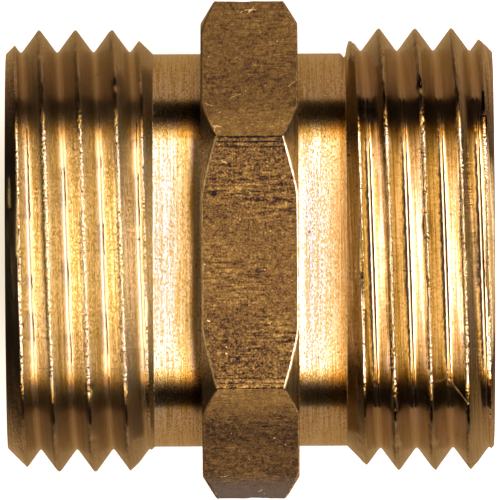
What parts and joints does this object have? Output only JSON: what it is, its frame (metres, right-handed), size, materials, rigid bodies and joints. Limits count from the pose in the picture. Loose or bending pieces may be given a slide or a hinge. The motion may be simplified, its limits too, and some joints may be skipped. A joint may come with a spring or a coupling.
{
  "type": "male to male garden hose union",
  "caption": "One-piece brass hose union: a right-hand outside hose thread at each end, a wrench hexagon between two turned necks, and a straight waterway through it.",
  "frame": {"origin": "middle of the hexagon on the waterway's axis, which is the centre of the part's box", "axes": "X along the waterway's axis, +Z out of one hexagon flat, +Y out of one hexagon corner"},
  "size_m": [0.0296, 0.0304, 0.027],
  "materials": {
    "brass": "machined, with the rough skin of drawn bar on the hexagon"
  },
  "bodies": {
    "root": {"union_body": "brass"}
  },
  "joints": []
}
